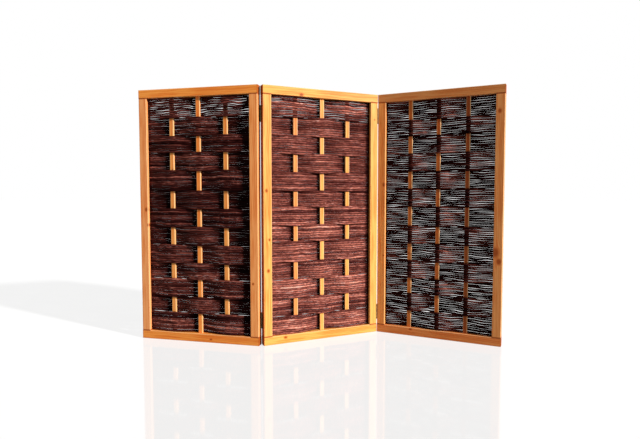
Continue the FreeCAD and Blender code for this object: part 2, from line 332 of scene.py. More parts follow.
def rod_stack(panel, draws, along, settings):
    """Height of the middle, and half the thickness, of every rod of a panel at each place along it.
    The line between two courses strays smoothly, and each course widens past its lines where it lies
    far out, because its neighbours lie far out on the other side. In a course, the open share is
    dealt out between the rods by weights that rise and fall smoothly along them, so that long thin
    gaps open and close. The thicknesses, a random size times a taper that runs the other way from
    rod to rod and times a smooth swelling, fill the rest. Each rod's middle is the running sum of
    what lies above it, so that neighbours never touch."""
    firsts = course_bounds(panel)
    pitch = (PANEL_HEIGHT - 2 * RAIL_HEIGHT) / ROD_COUNT
    top = PANEL_HEIGHT - RAIL_HEIGHT
    lines = top - firsts[:, None] * pitch + 0 * along
    strays = smooth_curves(draws, len(firsts) - 2, along, LINE_WAVES)
    lines[1:-1] += np.clip(strays, -2, 2) * settings.boundary_wander / 2
    span, turned = bend_spans(along)
    crests = np.array((0, 1, -1, 1, 0))
    out = np.abs(crests[span] * (1 - turned) + crests[span + 1] * turned)
    near, far = SPREAD_SHARES
    out = np.clip((out - near) / (far - near), 0, 1)
    spread = settings.spread * out ** 2 * (3 - 2 * out)
    tops, feet = lines[:-1].copy(), lines[1:].copy()
    tops[1:] += spread
    feet[:-1] -= spread
    size = np.clip(1 + settings.uneven * draws.normal(0, 1, (ROD_COUNT, 1)), *ROD_SIZE_LIMITS)
    ways = np.where(np.arange(ROD_COUNT) % 2, 1, -1)[:, None]
    taper = 1 + ways * settings.taper * (along - 0.5)
    swell = 1 + ROD_SWELL * smooth_curves(draws, ROD_COUNT, along, SWELL_WAVES)
    thickness = size * taper * swell
    weights = smooth_curves(draws, ROD_COUNT, along, GAP_WAVES) - GAP_CUTS[panel]
    weights = np.clip(weights, LEAST_GAP_WEIGHT, None)
    middles = np.empty_like(thickness)
    for course, loose in enumerate(LOOSE_SHARES[panel]):
        rods = slice(firsts[course], firsts[course + 1])
        height = tops[course] - feet[course]
        thick = thickness[rods] * (1 - loose) * height / thickness[rods].sum(0)
        gaps = weights[rods] * loose * height / weights[rods].sum(0)
        steps = thick + gaps
        middles[rods] = tops[course] - np.cumsum(steps, 0) + steps / 2
        thickness[rods] = thick
    return middles, thickness / 2


def rod_bends(panel, draws, along, half_depth, settings):
    """How far back each rod's middle lies at each place along it.
    A rod rests at zero at its two ends and stands off each slat by half the slat, half the rod and a
    little room, by turns in front and behind."""
    firsts = course_bounds(panel)
    course = np.searchsorted(firsts, np.arange(ROD_COUNT), side="right") - 1
    side = np.where(course % 2, -1, 1) * SIDE_SLAT_FACES[panel]
    nearest = np.searchsorted(panel_distances(along), SLAT_PLACES)
    belly = settings.belly * draws.gamma(BELLY_FORM, 1.0, (ROD_COUNT, 3)).clip(0, BELLY_LIMIT)
    reach = SLAT_THICKNESS / 2 + settings.slat_clearance + half_depth[:, nearest] + belly
    depths = np.zeros((ROD_COUNT, 5))
    depths[:, 1:4] = side[:, None] * reach * np.array((1, -1, 1))
    span, turned = bend_spans(along)
    return depths[:, span] * (1 - turned) + depths[:, span + 1] * turned, course


def tube_mesh(name, points, attributes):
    """A mesh of closed tubes from points[tube, along, around, xyz], with one more point at each end.
    Faces join each point with the next along and the next around, and the last one around with the
    first. A fan round the mean of each end ring closes it. attributes maps a name to one value or
    vector for each point of the grid."""
    tubes, rings, sides, _ = points.shape
    grid = np.arange(tubes * rings * sides).reshape(tubes, rings, sides)
    after = np.roll(grid, -1, 2)
    quads = np.stack((grid[:, :-1], after[:, :-1], after[:, 1:], grid[:, 1:]), -1).reshape(-1, 4)
    low = grid.size + np.arange(tubes)[:, None] + np.zeros((1, sides), int)
    high = low + tubes
    fans = np.concatenate((
        np.stack((low, after[:, 0], grid[:, 0]), -1).reshape(-1, 3),
        np.stack((high, grid[:, -1], after[:, -1]), -1).reshape(-1, 3)))
    places = np.concatenate((points.reshape(-1, 3), points[:, 0].mean(1), points[:, -1].mean(1)))
    corners = np.concatenate((quads.ravel(), fans.ravel()))
    starts = np.concatenate((np.arange(len(quads)) * 4, quads.size + np.arange(len(fans)) * 3))
    mesh = bpy.data.meshes.new(name)
    mesh.vertices.add(len(places))
    mesh.vertices.foreach_set("co", places.astype(np.float32).ravel())
    mesh.loops.add(len(corners))
    mesh.loops.foreach_set("vertex_index", corners.astype(np.int32))
    mesh.polygons.add(len(starts))
    mesh.polygons.foreach_set("loop_start", starts.astype(np.int32))
    mesh.polygons.foreach_set("use_smooth", np.ones(len(starts), bool))
    for label, values in attributes.items():
        flat = values.reshape(tubes * rings * sides, -1)
        ends = [values[:, ring].reshape(tubes, sides, -1).mean(1) for ring in (0, -1)]
        every = np.concatenate((flat, *ends)).astype(np.float32)
        vector = every.shape[1] == 3
        layer = mesh.attributes.new(label, "FLOAT_VECTOR" if vector else "FLOAT", "POINT")
        layer.data.foreach_set("vector" if vector else "value", every.ravel())
    mesh.update(calc_edges=True)
    mesh.validate()
    return mesh


def bark_lightness_and_painted_shade(panel, draws, along, depths, half_deep, angle, settings):
    """Lightness of the bark at each point of the rods' skins, with painted light and shade in it.
    It is the panel's painted light level at that height times a random curve for each rod.
    Painted shade makes it fall on a course's first and last rod, towards the line where two rods
    meet, as the cube of the sine of the angle round the rod, in the painted shadow of a board, and
    on the side that is turned to the middle of the weave. Painted sunlight makes it rise where the
    rod slopes so that it faces the right end of the panel."""
    lightness = draws.normal(0, WHOLE_ROD_STRENGTH, (ROD_COUNT, 1))
    along_rod = smooth_curves(draws, ROD_COUNT, along, LIGHTNESS_WAVES)
    lightness = lightness + ALONG_ROD_STRENGTH * along_rod
    # Painted light and shade: the panel's level at this height
    top, foot = PAINTED_PANEL_LIGHT[panel]
    down = (np.arange(ROD_COUNT) / ROD_COUNT)[:, None]
    shade = (top + (foot - top) * down ** WAY_DOWN_POWER) * np.exp(
        settings.shade_spread * CONTRAST_SHARES[panel] * lightness)
    firsts = course_bounds(panel)
    # Painted shade on each course's first and last rod
    shade[np.concatenate((firsts[:-1], firsts[1:] - 1))] *= settings.painted_edge_rod_shade
    x = panel_distances(along)
    # Painted sunlight on the flanks that slope to face the right end of the panel
    lean = np.clip(np.gradient(depths, x, axis=1) / PAINTED_SUNLIGHT_SLOPE, 0, 1)
    shade = shade * (1 + PAINTED_SUNLIGHT_SHARES[panel] * lean)
    # Painted shade towards the line where two rods meet
    shade = shade[..., None] * (1 - settings.painted_crevice_shade * np.abs(np.sin(angle)) ** 3)
    # Painted shadow of the slats and stiles on the front of the rods
    painted_shadow = painted_shadow_shares(panel, x, depths - half_deep)[..., None] * (1 - np.cos(angle)) / 2
    shade = shade * (1 - settings.painted_shadow * painted_shadow)
    # Painted shade on the sides of the rods that lie back in the weave
    far_out = depths[..., None] * np.cos(angle) / np.abs(depths).max()
    return shade * (1 - settings.painted_recess_shade * (1 - far_out) / 2)


def weave_panel(panel, settings):
    """The rods of the odd and of the even courses of a panel, as two meshes by name.
    A rod's skin is its middle line plus an ellipse across it: half the depth times the cosine of the
    angle round it, and half the thickness times the sine. The whole is turned and moved onto the
    panel."""
    draws = np.random.default_rng(settings.seed + 100 * list(PANEL_TURNS).index(panel))
    along = rod_samples()
    middles, half_thick = rod_stack(panel, draws, along, settings)
    half_deep = np.minimum(half_thick * ROD_FLATNESS, ROD_DEEPEST)
    depths, course = rod_bends(panel, draws, along, half_deep, settings)
    angle = np.arange(ROD_SIDES) * TAU / ROD_SIDES
    local = np.empty((ROD_COUNT, len(along), ROD_SIDES, 3))
    local[..., 0] = panel_distances(along)[None, :, None]
    local[..., 1] = depths[..., None] + half_deep[..., None] * np.cos(angle)
    local[..., 2] = middles[..., None] + half_thick[..., None] * np.sin(angle)
    world = local.copy()
    world[..., :2] = local[..., :2] @ np.array(panel_axes(panel)) + PANEL_STARTS[panel]
    tone = np.clip(draws.normal(TONE_MIDDLE, TONE_SPREAD, (ROD_COUNT, 1, 1)), 0, 1)
    tone = tone + np.zeros(local.shape[:3])
    bark = local.copy()
    bark[..., 0] += draws.uniform(0, BARK_LENGTH, (ROD_COUNT, 1, 1))
    shade = bark_lightness_and_painted_shade(panel, draws, along, depths, half_deep, angle, settings)
    meshes = {}
    for parity, word in enumerate(("odd", "even")):
        chosen = course % 2 == parity
        name = f"{panel}_{word}_course_rods"
        layers = {"bark_place": bark[chosen], "bark_tone": tone[chosen], "bark_painted_light_and_tone": shade[chosen]}
        meshes[name] = tube_mesh(name + "_woven", world[chosen], layers)
    return meshes


# Node trees

# The palest that bark gets, and the powers of the painted light and shade by which its green and
# its blue fall, so that bark in painted shade is redder
LIGHTEST_BARK = (0.70, 0.40, 0.32)
GREEN_AND_BLUE_POWERS = (1.18, 1.14)

# Growth rings: how far they sway, and between which shares of a ring the wood turns dark and light
RING_SWAY = 0.016
DARKENING = (0.25, 0.86)
LIGHTENING = (1.0, 0.9)

# Knots: how far the outline strays, a weight below 1 that makes them longer than wide, between how
# many radii from the centre they turn dark, and how fast their push on the growth rings fades with
# the square of the radii, and its strength
KNOT_WOBBLE = 0.0025
ALONG_WEIGHT = 0.55
KNOT_EDGE = (2.6, 0.5)
PUSH_FADE = -0.18
PUSH_STRENGTH = 0.8

# How far wear and the painted highlight reach in from a board's edges, and the dark part from its
# butting side: no effect at the first distance and the full one at the second. Left edges have
# this share of the wear and painted highlight of right ones.
RIM_REACH = (0.0036, 0.0014)
BUTT_REACH = (0.0036, 0.0020)
LEFT_WEAR_AND_HIGHLIGHT_SHARE = 0.35

# How strongly each dark part covers the wood
HALO_DARKNESS = 0.7
HEART_DARKNESS = 0.88
BUTT_DARKNESS = 0.88
END_DARKNESS = 0.82


def node(tree, kind, inputs=None, **settings):
    """A new node with these settings; inputs maps a socket's name or number to a value, or to the
    output that feeds it."""
    made = tree.nodes.new(kind)
    for label, value in settings.items():
        setattr(made, label, value)
    for label, value in (inputs or {}).items():
        if isinstance(value, bpy.types.NodeSocket):
            tree.links.new(value, made.inputs[label])
        else:
            made.inputs[label].default_value = value
    return made


def maths(tree, operation, *values, clamp=False):
    """The output of a Math node."""
    made = node(tree, "ShaderNodeMath", dict(enumerate(values)), operation=operation, use_clamp=clamp)
    return made.outputs[0]


def product(tree, *factors):
    """The output of Math nodes that multiply all the factors."""
    result = factors[0]
    for factor in factors[1:]:
        result = maths(tree, "MULTIPLY", result, factor)
    return result


def weighted_sum(tree, *terms):
    """The output of Math nodes that add up values, each times its weight."""
    first, *others = (product(tree, value, weight) for value, weight in terms)
    for other in others:
        first = maths(tree, "ADD", first, other)
    return first


def blend(tree, share, first, second):
    """The output of a colour mix: first where the share is 0 and second where it is 1."""
    made = node(tree, "ShaderNodeMix", {0: share, 6: first, 7: second},
                data_type="RGBA", clamp_factor=True)
    return made.outputs[2]


def vector_maths(tree, operation, first, second):
    """The output of a Vector Math node."""
    return node(tree, "ShaderNodeVectorMath", {0: first, 1: second}, operation=operation).outputs[0]


def attribute(tree, name, output):
    """This output of an Attribute node that reads the mesh's attribute of that name."""
    return node(tree, "ShaderNodeAttribute", attribute_name=name).outputs[output]


def fade(tree, value, low, high, out_low=0.0, out_high=1.0):
    """The value eased from out_low at low to out_high at high."""
    made = node(tree, "ShaderNodeMapRange", {0: value, 1: low, 2: high, 3: out_low, 4: out_high},
                interpolation_type="SMOOTHSTEP", clamp=True)
    return made.outputs[0]


def grained_place(tree, place, grains):
    """The place scaled so that a texture of scale 1 has this many grains to the metre along x, y
    and z."""
    return node(tree, "ShaderNodeMapping", {"Vector": place, "Scale": grains}).outputs[0]


def grained_noise(tree, place, grains, detail=2.0, roughness=0.5):
    """Noise with this many grains to the metre along x, y and z."""
    return node(tree, "ShaderNodeTexNoise", {
        "Vector": grained_place(tree, place, grains), "Scale": 1.0, "Detail": detail,
        "Roughness": roughness}).outputs[0]


def new_group(name, numbers, colours=(), outputs=("Color", "Roughness", "Height")):
    """A node group whose inputs are Place and these numbers and colours. Its outputs are numbers, but
    for Color. Gives the group, a list of its inputs' values, and its output node."""
    made = bpy.data.node_groups.new(name, "ShaderNodeTree")
    kinds = {"Place": "Vector", "Color": "Color", **dict.fromkeys(colours, "Color")}
    inputs = ("Place", *numbers, *colours)
    for way, labels in (("INPUT", inputs), ("OUTPUT", outputs)):
        for label in labels:
            made.interface.new_socket(
                name=label, in_out=way, socket_type="NodeSocket" + kinds.get(label, "Float"))
    source = made.nodes.new("NodeGroupInput")
    return made, source.outputs[:len(inputs)], made.nodes.new("NodeGroupOutput")


def send(tree, sink, **outputs):
    """Link these outputs to the group's output sockets of the same names."""
    for label, output in outputs.items():
        tree.links.new(output, sink.inputs[label])


def bark_group():
    """Willow bark: streaks along the rod, blotches, small pores, and a tone for each rod.
    Its Shade input carries painted light and shade. Its red falls less than its green and blue where
    that is dark, and no bark is paler than a limit."""
    tree, values, sink = new_group(
        "willow_bark", ("Tone", "Shade"), ("Dark Bark", "Warm Bark", "Pale Bark"))
    place, tone, shade, dark, warm, pale = values
    # Streaks in the darkest and the usual bark
    streak = grained_noise(tree, place, (16, 420, 420), 3.0, 0.6)
    slow = grained_noise(tree, place, (5, 30, 30), 1.0)
    mixed = weighted_sum(tree, (tone, 0.75), (slow, 0.5), (streak, 0.55))
    body = blend(tree, fade(tree, mixed, 0.45, 1.35), dark, warm)
    # Rubbed blotches and pale pores
    blotch = grained_noise(tree, place, (26, 90, 90))
    rubbed = product(tree, fade(tree, blotch, 0.52, 0.78), fade(tree, mixed, 0.75, 1.25))
    body = blend(tree, rubbed, body, pale)
    pores = node(tree, "ShaderNodeTexVoronoi", {
        "Scale": 1.0, "Vector": grained_place(tree, place, (150, 420, 420))})
    pore = fade(tree, pores.outputs["Distance"], 0.24, 0.1)
    body = blend(tree, product(tree, pore, 0.35), body, pale)
    # How light it is: random mottling times the painted light and shade of the Shade input
    mottle = grained_noise(tree, place, (75, 260, 260), 2.0, 0.6)
    shade = product(tree, shade, fade(tree, mottle, 0.34, 0.66, 0.55, 1.45))
    green, blue = (maths(tree, "POWER", shade, power) for power in GREEN_AND_BLUE_POWERS)
    shades = node(tree, "ShaderNodeCombineXYZ", {0: shade, 1: green, 2: blue}).outputs[0]
    body = vector_maths(tree, "MULTIPLY", body, shades)
    body = vector_maths(tree, "MINIMUM", body, LIGHTEST_BARK)
    rough = fade(tree, streak, 0.2, 0.8, 0.36, 0.58)
    height = weighted_sum(tree, (streak, 0.6), (pore, 0.5))
    send(tree, sink, Color=body, Roughness=rough, Height=height)
    return tree


def knot_group():
    """One knot that runs through a piece from front to back. It adds its soft-edged mask to the knots
    so far, and pushes the grain lines near it outwards."""
    tree, values, sink = new_group(
        "softwood_knot", ("Centre Along", "Centre Across", "Radius", "Knots So Far", "Shift So Far"),
        outputs=("Knots", "Shift"))
    place, centre_along, centre_across, radius, knots, shift = values
    x, _, z = node(tree, "ShaderNodeSeparateXYZ", {0: place}).outputs
    along = maths(tree, "SUBTRACT", x, centre_along)
    across = maths(tree, "SUBTRACT", z, centre_across)
    wobble = product(tree, grained_noise(tree, place, (160, 160, 160)), KNOT_WOBBLE)
    squares = maths(
        tree, "ADD", product(tree, along, along, ALONG_WEIGHT), product(tree, across, across))
    reach = maths(tree, "ADD", maths(tree, "SQRT", squares), wobble)
    radii = maths(tree, "DIVIDE", reach, radius)
    knots = maths(tree, "MAXIMUM", fade(tree, radii, *KNOT_EDGE), knots)
    falloff = maths(tree, "EXPONENT", product(tree, radii, radii, PUSH_FADE))
    shift = maths(tree, "ADD", product(tree, across, falloff, PUSH_STRENGTH), shift)
    send(tree, sink, Knots=knots, Shift=shift)
    return tree


def softwood_group():
    """Sawn and oiled softwood with its grain along x: growth rings round a pith that lies beside the
    piece, fine fibres, slow changes of tone, knots, edges worn pale with a painted highlight on those
    that face the key light, darker end grain, and a dark side where the piece butts against the next
    one: a bare joint on a rail, painted shade on a panel's end."""
    tree, values, sink = new_group(
        "oiled_softwood",
        ("Pith Depth", "Pith Across", "Ring Spacing", "Knots", "Shift", "Half Length", "Half Depth",
         "Half Width", "Butt Side", "Butt Start", "Butt Along", "End Reach", "Wear And Highlight"),
        ("Light Wood", "Ring Wood", "Knot Wood", "Worn And Highlit Wood"))
    place, pith_depth, pith_across, spacing, knots, shift, half_length = values[:7]
    half_depth, half_width, butt_side, butt_start, butt_along, end_reach, wear_and_highlight = values[7:14]
    light, dark, knot, worn_and_highlit = values[14:]
    x, y, z = node(tree, "ShaderNodeSeparateXYZ", {0: place}).outputs
    # Late wood: each ring darkens slowly and ends sharply
    depth = maths(tree, "SUBTRACT", y, pith_depth)
    across = maths(tree, "SUBTRACT", maths(tree, "SUBTRACT", z, shift), pith_across)
    ring = maths(tree, "SQRT", maths(
        tree, "ADD", product(tree, depth, depth), product(tree, across, across)))
    sway = product(tree, grained_noise(tree, place, (4.5, 22, 22)), RING_SWAY)
    turn = maths(tree, "DIVIDE", maths(tree, "ADD", ring, sway), spacing)
    saw = maths(tree, "FRACT", turn)
    late = product(tree, fade(tree, saw, *DARKENING), fade(tree, saw, *LIGHTENING))
    # Tone and fibres
    fibre = grained_noise(tree, place, (14, 700, 700), 3.0, 0.65)
    slow = grained_noise(tree, place, (3, 28, 28))
    broad = grained_noise(tree, place, (7, 120, 120), 2.0, 0.6)
    amount = maths(tree, "ADD", product(tree, late, 0.45), fade(tree, slow, 0.35, 0.75, -0.1, 0.35))
    amount = maths(tree, "ADD", amount, fade(tree, broad, 0.35, 0.68, -0.15, 0.45))
    amount = maths(tree, "ADD", amount, fade(tree, fibre, 0.4, 0.85, -0.05, 0.35), clamp=True)
    body = blend(tree, amount, light, dark)
    # A knot's halo and its heart
    body = blend(tree, fade(tree, knots, 0.0, 0.45, 0.0, HALO_DARKNESS), body, dark)
    body = blend(tree, fade(tree, knots, 0.3, 1.0, 0.0, HEART_DARKNESS), body, knot)
    # Worn pale edges with a painted highlight, those on the right and the top, which face the key
    # light, more than those on the left and the bottom
    to_end, to_face, to_side = (
        maths(tree, "SUBTRACT", half, maths(tree, "ABSOLUTE", axis))
        for half, axis in ((half_length, x), (half_depth, y), (half_width, z)))
    rim = fade(tree, maths(tree, "ADD", to_face, to_side), *RIM_REACH)
    right = fade(tree, z, -0.004, 0.004, LEFT_WEAR_AND_HIGHLIGHT_SHARE, 1.0)
    rim = product(tree, rim, product(tree, wear_and_highlight, right))
    body = blend(tree, product(tree, rim, fade(tree, slow, 0.2, 0.6, 0.6, 1.0)), body, worn_and_highlit)
    # The dark part by the butting side: bare wood at a rail's joint, painted shade on a panel's end
    to_butt = maths(tree, "SUBTRACT", half_width, product(tree, z, butt_side))
    behind = fade(tree, y, butt_start, maths(tree, "ADD", butt_start, 0.002))
    beyond = fade(tree, maths(tree, "ABSOLUTE", x), maths(tree, "SUBTRACT", butt_along, 0.001),
                  butt_along)
    butt = product(tree, fade(tree, to_butt, *BUTT_REACH), behind, beyond)
    body = blend(tree, product(tree, butt, BUTT_DARKNESS), body, knot)
    # End grain
    end = fade(tree, to_end, product(tree, end_reach, 2), end_reach)
    body = blend(tree, product(tree, end, END_DARKNESS), body, knot)
    rough = maths(tree, "ADD", fade(tree, fibre, 0.3, 0.8, 0.40, 0.56), product(tree, end, 0.25))
    height = weighted_sum(tree, (fibre, 0.5), (late, 0.35))
    send(tree, sink, Color=body, Roughness=rough, Height=height)
    return tree


def plating_group():
    """Rolled and plated steel: fine marks along the piece, and dull patches."""
    tree, values, sink = new_group("zinc_plating", (), ("Bright", "Dull"))
    place, bright, dull = values
    marks = grained_noise(tree, place, (900, 900, 60))
    patch = grained_noise(tree, place, (120, 120, 90), 3.0, 0.6)
    amount = fade(tree, maths(tree, "ADD", patch, product(tree, marks, 0.3)), 0.5, 0.95)
    rough = maths(tree, "ADD", fade(tree, marks, 0.2, 0.8, 0.26, 0.42), product(tree, amount, 0.2))
    send(tree, sink, Color=blend(tree, amount, bright, dull), Roughness=rough, Height=marks)
    return tree


def group_once(name, build):
    """The node group of that name, built the first time that it is asked for."""
    return bpy.data.node_groups.get(name) or build()


def shaded_material(name, group, inputs, bump_distance, bump_strength, **constants):
    """A material whose Principled shader takes colour, roughness and bump from a node group.
    inputs gives the group's input values; a function among them is called with the tree."""
    material = bpy.data.materials.new(name)
    material.use_nodes = True
    tree = material.node_tree
    shader = tree.nodes["Principled BSDF"]
    values = {label: value(tree) if callable(value) else value for label, value in inputs.items()}
    effect = node(tree, "ShaderNodeGroup", values, node_tree=group)
    bump = node(tree, "ShaderNodeBump", {
        "Height": effect.outputs["Height"], "Distance": bump_distance, "Strength": bump_strength})
    tree.links.new(effect.outputs["Color"], shader.inputs["Base Color"])
    tree.links.new(effect.outputs["Roughness"], shader.inputs["Roughness"])
    tree.links.new(bump.outputs[0], shader.inputs["Normal"])
    for label, value in constants.items():
        shader.inputs[label.replace("_", " ")].default_value = value
    return material


def paint(name, material):
    """Give a CAD node this material in every slot that it has."""
    piece = frame["nodes"][name]
    if not piece.material_slots:
        piece.data.materials.append(material)
    for slot in piece.material_slots:
        slot.material = material


# Wood

def panel_place(tree, panel, upright, middle):
    """Object coordinates turned onto a panel and measured from the middle of a piece, with x along its
    grain, y to the back and z across."""
    x, y = (float(value) for value in PANEL_STARTS[panel])
    objects = node(tree, "ShaderNodeTexCoord").outputs["Object"]
    turned = node(tree, "ShaderNodeMapping", {
        "Vector": objects, "Location": (x, y, 0.0),
        "Rotation": (0.0, 0.0, math.radians(PANEL_TURNS[panel]))}, vector_type="TEXTURE")
    moved = vector_maths(tree, "SUBTRACT", turned.outputs[0], middle)
    if not upright:
        return moved
    across, back, up = node(tree, "ShaderNodeSeparateXYZ", {0: moved}).outputs
    return node(tree, "ShaderNodeCombineXYZ", {0: up, 1: back, 2: across}).outputs[0]


# Each board: its middle in the panel, whether its grain stands upright, and half its length, its
# depth and its width
RAIL_HALVES = (PANEL_WIDTH / 2, FRAME_THICKNESS / 2, RAIL_HEIGHT / 2)
STILE_HALVES = (PANEL_HEIGHT / 2 - RAIL_HEIGHT, FRAME_THICKNESS / 2, STILE_WIDTH / 2)
SLAT_HALVES = (PANEL_HEIGHT / 2, SLAT_THICKNESS / 2, SLAT_WIDTH / 2)
BOARDS = {
    "top_rail": ((PANEL_WIDTH / 2, 0, PANEL_HEIGHT - RAIL_HEIGHT / 2), False, RAIL_HALVES),
    "bottom_rail": ((PANEL_WIDTH / 2, 0, RAIL_HEIGHT / 2), False, RAIL_HALVES),
    "left_stile": ((STILE_WIDTH / 2, 0, PANEL_HEIGHT / 2), True, STILE_HALVES),
    "right_stile": ((PANEL_WIDTH - STILE_WIDTH / 2, 0, PANEL_HEIGHT / 2), True, STILE_HALVES),
}
SLATS = {
    name: ((place, 0, PANEL_HEIGHT / 2), True, SLAT_HALVES)
    for name, place in zip(("left_slat", "centre_slat", "right_slat"), SLAT_PLACES)}

# Sides that butt against the next panel are darkened with painted shade for the shadow deep in the
# gap between two panels; the rails' sides that butt against the stiles have no oil on them and are
# dark. Which side it is, where between front (-) and back (+) the dark part begins, and how far
# along the board from its middle
PAINTED_SHADE_BUTT_SIDES = {
    "left_right_stile": (1.0, 0.0, 0.0),
    "middle_left_stile": (-1.0, -0.0175, 0.0),
    "middle_right_stile": (1.0, -0.0175, 0.0),
    "right_left_stile": (-1.0, -0.0175, 0.0),
}
RAIL_BUTTS = {
    "top_rail": (-1.0, -1.0, PANEL_WIDTH / 2 - STILE_WIDTH),
    "bottom_rail": (1.0, -1.0, PANEL_WIDTH / 2 - STILE_WIDTH),
}

# How the stain took on a board, as shares of the wood's red, green and blue. The shares also hold
# painted light and shade: most of the middle panel's boards are yellower, as if sunlit, and the
# right panel's are darker, its slats redder and its right slat darkest.
STAIN_AND_PAINTED_LIGHT_SHARES = {
    "left_top_rail": (1.0, 0.86, 0.62),
    "left_bottom_rail": (1.0, 0.84, 0.60),
    "left_left_stile": (1.0, 0.99, 1.4),
    "left_right_stile": (1.0, 0.96, 1.2),
    "left_left_slat": (1.0, 0.93, 1.0),
    "left_centre_slat": (1.0, 0.76, 0.62),
    "left_right_slat": (1.0, 0.90, 0.9),
    "middle_top_rail": (1.0, 1.05, 0.9),
    "middle_bottom_rail": (1.0, 1.12, 1.0),
    "middle_left_stile": (1.0, 1.12, 1.1),
    "middle_right_stile": (1.0, 1.15, 1.1),
    "middle_left_slat": (0.97, 0.80, 0.95),
    "middle_centre_slat": (1.0, 1.08, 1.2),
    "right_top_rail": (0.80, 0.78, 0.95),
    "right_bottom_rail": (0.92, 0.75, 0.8),
    "right_left_stile": (1.0, 0.95, 0.95),
    "right_right_stile": (0.92, 0.90, 1.1),
    "right_left_slat": (0.66, 0.45, 0.34),
    "right_centre_slat": (0.62, 0.36, 0.24),
    "right_right_slat": (0.38, 0.20, 0.12),
}

# Knots: place along the board and across it from its middle, and radius of the heart
KNOTS = {
    "left_bottom_rail": ((0.06, -0.004, 0.004),),
    "left_left_stile": ((0.030, 0.011, 0.006), (-0.045, 0.018, 0.004)),
    "left_right_stile": ((-0.31, -0.006, 0.004),),
    "middle_top_rail": ((-0.112, -0.012, 0.006),),
    "middle_bottom_rail": ((-0.195, 0.009, 0.005),),
    "middle_left_stile": ((0.120, -0.005, 0.005), (-0.106, 0.008, 0.004), (-0.25, 0.002, 0.005)),
    "middle_right_stile": ((0.475, 0.002, 0.003),),
    "right_bottom_rail": ((-0.125, 0.013, 0.0045),),
    "right_left_stile": ((0.151, 0.013, 0.006), (-0.206, 0.012, 0.003)),
    "right_right_stile": ((0.481, -0.003, 0.006), (-0.163, -0.012, 0.012), (-0.205, 0.004, 0.008)),
    "left_left_slat": ((0.22, 0.003, 0.003),),
    "middle_right_slat": ((0.3, 0.0, 0.003), (-0.14, 0.004, 0.003)),
    "right_left_slat": ((-0.19, -0.003, 0.0035),),
    "right_centre_slat": ((0.08, 0.004, 0.003),),
}


# How worn the edges are and how strong their painted highlight is, and how far the dark end grain
# reaches in, by the kind of board
WEARS_AND_HIGHLIGHTS = {"rail": 0.6, "stile": 0.6, "slat": 1.0}
END_REACHES = {"rail": 0.0008, "stile": 0.0024, "slat": 0.0008}


def wood_material(panel, piece, board, light, settings, draws):
    """Softwood for one board, with its own pith, tone and knots."""
    name = f"{panel}_{piece}"
    kind = piece.split("_")[-1]
    middle, upright, halves = board
    group = group_once("oiled_softwood", softwood_group)
    knot = group_once("softwood_knot", knot_group)
    # The stain shares also carry each board's painted light and shade
    tone = draws.uniform(0.95, 1.03) * np.array(STAIN_AND_PAINTED_LIGHT_SHARES.get(name, (1, 1, 1)))
    pith_depth = float(draws.uniform(0.02, 0.06))
    pith_across = float(draws.uniform(0.03, 0.07) * draws.choice((-1, 1)))
    butt = PAINTED_SHADE_BUTT_SIDES.get(name) or RAIL_BUTTS.get(piece, (0.0, 0.0, 0.0))
    stained_and_painted_light = [[*np.minimum(np.array(wood[:3]) * tone, 1.0).tolist(), 1.0]
               for wood in (light, settings.ring_wood)]
    material = shaded_material(
        name + "_wood", group,
        {"Pith Depth": pith_depth, "Pith Across": pith_across, "Ring Spacing": settings.ring_spacing,
         "Half Length": halves[0], "Half Depth": halves[1], "Half Width": halves[2],
         "Butt Side": butt[0], "Butt Start": butt[1], "Butt Along": butt[2],
         "Wear And Highlight": WEARS_AND_HIGHLIGHTS[kind], "End Reach": END_REACHES[kind], "Light Wood": stained_and_painted_light[0],
         "Ring Wood": stained_and_painted_light[1], "Knot Wood": settings.knot_wood, "Worn And Highlit Wood": settings.worn_and_highlit_wood},
        bump_distance=0.0006, bump_strength=0.35, Specular_IOR_Level=0.15)
    tree = material.node_tree
    effect = next(item for item in tree.nodes if item.type == "GROUP")
    place = panel_place(tree, panel, upright, middle)
    tree.links.new(place, effect.inputs["Place"])
    knots, pushed = 0.0, 0.0
    for along, across, radius in KNOTS.get(name, ()):
        knots, pushed = node(tree, "ShaderNodeGroup", {
            "Place": place, "Centre Along": along, "Centre Across": across, "Radius": radius,
            "Knots So Far": knots, "Shift So Far": pushed}, node_tree=knot).outputs
        tree.links.new(knots, effect.inputs["Knots"])
        tree.links.new(pushed, effect.inputs["Shift"])
    return material


def finish_boards(boards, light, settings, seed):
    """Give each of these boards in every panel its own wood."""
    draws = np.random.default_rng(seed)
    for panel in PANEL_TURNS:
        for piece, board in boards.items():
            paint(f"{panel}_{piece}", wood_material(panel, piece, board, light, settings, draws))


# Operators

class WeaveRods(bpy.types.Operator):
    """Weave the willow rods of all three panels and let them stand for the frame's rods"""
    bl_idname = "willow_screen.weave_rods"
    bl_label = "Weave willow rods"

    def execute(self, context):
        settings = context.scene.willow_settings
        material = shaded_material(
            "willow_bark_satin", group_once("willow_bark", bark_group),
            {"Place": lambda tree: attribute(tree, "bark_place", "Vector"),
             "Tone": lambda tree: attribute(tree, "bark_tone", "Fac"),
             "Shade": lambda tree: attribute(tree, "bark_painted_light_and_tone", "Fac"),
             "Dark Bark": settings.dark_bark, "Warm Bark": settings.warm_bark,
             "Pale Bark": settings.pale_bark},
            bump_distance=0.0004, bump_strength=0.6, Specular_IOR_Level=0.01)
        for panel in PANEL_TURNS:
            for name, mesh in weave_panel(panel, settings).items():
                mesh.materials.append(material)
                piece = bpy.data.objects.new(name + "_woven", mesh)
                context.scene.collection.objects.link(piece)
                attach(piece, panel + "_panel")
                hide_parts(name)
        return {"FINISHED"}


class FinishFrames(bpy.types.Operator):
    """Give every rail and stile its own board of oiled softwood"""
    bl_idname = "willow_screen.finish_frames"
    bl_label = "Finish frame wood"

    def execute(self, context):
        settings = context.scene.wood_settings
        finish_boards(BOARDS, settings.light_wood, settings, seed=5)
        return {"FINISHED"}


